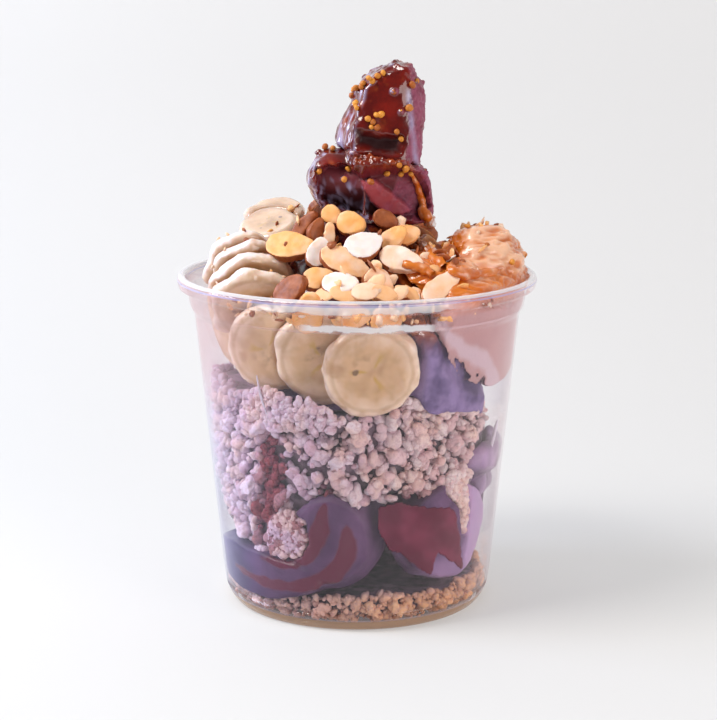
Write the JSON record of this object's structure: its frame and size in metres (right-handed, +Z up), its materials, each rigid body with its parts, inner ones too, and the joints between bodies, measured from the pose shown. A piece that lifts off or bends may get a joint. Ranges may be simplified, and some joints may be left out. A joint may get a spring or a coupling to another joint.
{
  "type": "acai bowl",
  "caption": "Clear plastic cup layered with granola and frozen acai, lined with banana slices and topped with nut butter, cut almonds, bee pollen and a glazed acai tower.",
  "frame": {"origin": "centre of the cup's foot, on the surface it stands on", "axes": "+Z up along the cup's axis, -Y to the front, which shows the round banana slice, +X to the nut butter's side"},
  "size_m": [0.117, 0.117, 0.1759],
  "materials": {
    "clear_plastic": "clear, smooth and glossy, lightly fogged by the cold filling",
    "banana": "moist cut fruit, pale rim round a yellower middle",
    "acai": "soft frozen puree, purple, with wet maroon streaks",
    "glazed_acai": "frozen acai under a wet glaze",
    "granola": "dry toasted oat clumps",
    "nut_butter": "sticky, rough and oily",
    "almond": "cut nut flesh with brown skin on the edges"
  },
  "bodies": {
    "root": {"cup": "clear_plastic", "banana_slice_1": "banana", "banana_slice_2": "banana", "banana_slice_3": "banana", "banana_slice_4": "banana", "banana_slice_5": "banana", "banana_slice_6": "banana", "banana_slice_7": "banana", "banana_slice_8": "banana", "banana_slice_9": "banana", "banana_slice_10": "banana", "banana_slice_11": "banana", "banana_slice_12": "banana", "banana_slice_13": "banana", "banana_slice_14": "banana", "acai_low_left": "acai", "acai_low_right": "acai", "acai_low_back": "acai", "acai_side": "acai", "acai_upper": "acai", "granola_base": "granola", "granola_middle": "granola", "almond_1": "almond", "almond_2": "almond", "almond_3": "almond", "almond_4": "almond", "almond_5": "almond", "almond_6": "almond", "almond_7": "almond", "almond_8": "almond", "almond_9": "almond", "almond_10": "almond", "almond_11": "almond", "almond_12": "almond", "almond_13": "almond", "almond_14": "almond", "almond_15": "almond", "almond_16": "almond", "almond_17": "almond", "almond_18": "almond", "almond_19": "almond", "almond_20": "almond", "almond_21": "almond", "almond_22": "almond", "almond_23": "almond", "almond_24": "almond", "almond_25": "almond", "almond_26": "almond", "almond_27": "almond", "almond_28": "almond", "almond_29": "almond", "almond_30": "almond", "almond_31": "almond", "almond_32": "almond", "almond_33": "almond", "almond_34": "almond", "nut_butter": "nut_butter", "acai_tower_low": "glazed_acai", "acai_tower_top": "glazed_acai"}
  },
  "joints": []
}
